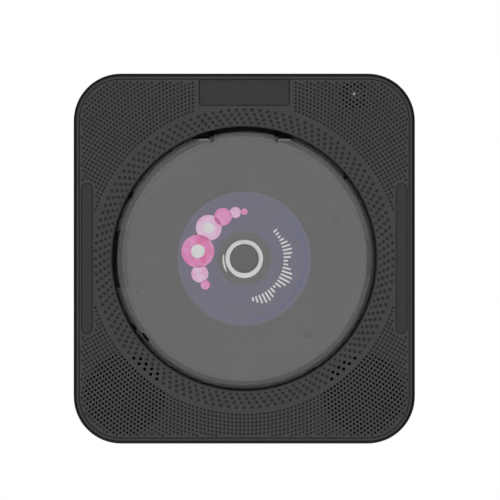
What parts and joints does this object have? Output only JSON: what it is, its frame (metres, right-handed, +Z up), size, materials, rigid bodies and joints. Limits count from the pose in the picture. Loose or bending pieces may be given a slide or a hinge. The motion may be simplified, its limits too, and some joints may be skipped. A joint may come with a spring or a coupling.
{
  "type": "wall mounted cd player",
  "caption": "Square wall mounted disc player with a round well behind a clear flip-up cover, a perforated speaker front and a hook-on wall plate",
  "frame": {"origin": "on the wall plane, midway between the two wall screw holes, level with the disc centre", "axes": "+Z up, +Y into the wall, +X to the right as the viewer faces the front"},
  "size_m": [0.166, 0.038, 0.18],
  "materials": {
    "housing_black": "fine satin texture",
    "grille_black": "fine matte texture",
    "smoked_window": "smoked satin",
    "inlay_grey": "smooth satin",
    "well_black": "fine matte",
    "magnet": "dark plated",
    "clear_cover": "clear polished plastic",
    "disc_black": "glossy black print",
    "rubber_black": "soft matte",
    "foam_black": "open foam",
    "bright_steel": "ground and polished",
    "motor_can": "zinc plated",
    "chassis_black": "glass-filled moulding",
    "screw_steel": "dull plated",
    "screw_black": "black oxide",
    "sled_alloy": "die cast",
    "gear_white": "acetal",
    "lens_glass": "coated",
    "speaker_steel": "satin",
    "cone_paper": "pressed pulp",
    "scrim_cloth": "open weave",
    "board_green": "solder mask",
    "chip_black": "moulded",
    "led_clear": "clear, lit white",
    "switch_metal": "plated",
    "key_black": "fine satin texture",
    "socket_metal": "nickel plated",
    "plate_steel": "satin powder coat"
  },
  "bodies": {
    "plate": {"wall_plate": "plate_steel"},
    "housing": {"front_housing": "housing_black", "grille_panel": "grille_black", "display_window": "smoked_window", "side_inlays": "inlay_grey", "disc_well": "well_black", "catch_magnet": "magnet", "spindle_motor": "motor_can", "mechanism_chassis": "chassis_black", "damper_grommets": "rubber_black", "damper_screws": "screw_steel", "guide_rods": "bright_steel", "gear_pin": "bright_steel", "sled_motor": "motor_can", "speaker_scrims": "scrim_cloth", "speaker_gaskets": "foam_black", "speaker_frames": "speaker_steel", "speaker_cones": "cone_paper", "speaker_magnets": "motor_can", "display_module": "board_green", "sensor_board": "board_green", "ir_receiver": "chip_black", "status_led": "led_clear", "key_board": "board_green", "tact_switches": "switch_metal", "main_board": "board_green", "board_chips": "chip_black", "power_inlet": "chip_black", "usb_socket": "socket_metal", "audio_socket": "chip_black", "power_switch": "socket_metal", "deck_screws": "screw_steel", "speaker_screws": "screw_steel", "small_screws": "screw_steel", "housing_screws": "screw_black", "rear_cover": "housing_black", "rubber_feet": "rubber_black"},
    "cover": {"dust_cover": "clear_cover", "cover_magnet": "magnet"},
    "rotor": {"disc": "disc_black", "turntable": "well_black", "turntable_mat": "rubber_black", "clamp_balls": "bright_steel", "spindle_shaft": "bright_steel"},
    "sled": {"pickup_sled": "sled_alloy", "sled_rack": "gear_white", "lens_actuator": "well_black", "objective_lens": "lens_glass"},
    "idler": {"idler_gear": "gear_white"},
    "pinion": {"motor_pinion": "gear_white"},
    "slider": {"power_slider": "key_black"},
    "source_button": {"source_key": "key_black"},
    "previous_button": {"previous_key": "key_black"},
    "play_button": {"play_key": "key_black"},
    "next_button": {"next_key": "key_black"},
    "volume_down_button": {"volume_down_key": "key_black"},
    "volume_up_button": {"volume_up_key": "key_black"}
  },
  "joints": [
    {"name": "lift_off", "type": "slide", "parent": "plate", "child": "housing", "axis": [0, 0, 1], "range_m": [0, 0.006]},
    {"name": "cover_hinge", "type": "hinge", "parent": "housing", "child": "cover", "pos_m": [0, -0.0356, 0.0604], "axis": [-1, 0, 0], "range_deg": [0, 80]},
    {"name": "disc_spin", "type": "hinge", "parent": "housing", "child": "rotor", "pos_m": [0, -0.0326, 0], "axis": [0, 1, 0], "continuous": true},
    {"name": "sled_slide", "type": "slide", "parent": "housing", "child": "sled", "axis": [1, 0, 0], "range_m": [0, 0.0335]},
    {"name": "idler_spin", "type": "hinge", "parent": "housing", "child": "idler", "pos_m": [0.036, -0.0157, 0.027], "axis": [0, -1, 0], "range_deg": [-2, 550]},
    {"name": "pinion_spin", "type": "hinge", "parent": "housing", "child": "pinion", "pos_m": [0.02492, -0.013, 0.0334], "axis": [0, -1, 0], "range_deg": [-2000, 5]},
    {"name": "power_slide", "type": "slide", "parent": "housing", "child": "slider", "axis": [1, 0, 0], "range_m": [0, 0.003]},
    {"name": "source_press", "type": "slide", "parent": "housing", "child": "source_button", "axis": [0, 0, -1], "range_m": [0, 0.0004], "stiffness_N_per_m": 900},
    {"name": "previous_press", "type": "slide", "parent": "housing", "child": "previous_button", "axis": [0, 0, -1], "range_m": [0, 0.0004], "stiffness_N_per_m": 900},
    {"name": "play_press", "type": "slide", "parent": "housing", "child": "play_button", "axis": [0, 0, -1], "range_m": [0, 0.0004], "stiffness_N_per_m": 900},
    {"name": "next_press", "type": "slide", "parent": "housing", "child": "next_button", "axis": [0, 0, -1], "range_m": [0, 0.0004], "stiffness_N_per_m": 900},
    {"name": "volume_down_press", "type": "slide", "parent": "housing", "child": "volume_down_button", "axis": [0, 0, -1], "range_m": [0, 0.0004], "stiffness_N_per_m": 900},
    {"name": "volume_up_press", "type": "slide", "parent": "housing", "child": "volume_up_button", "axis": [0, 0, -1], "range_m": [0, 0.0004], "stiffness_N_per_m": 900}
  ],
  "couplings": [
    {"joint": "idler_spin", "follows": "sled_slide", "rad_per_m": 285.71},
    {"joint": "pinion_spin", "follows": "sled_slide", "rad_per_m": -1039}
  ]
}
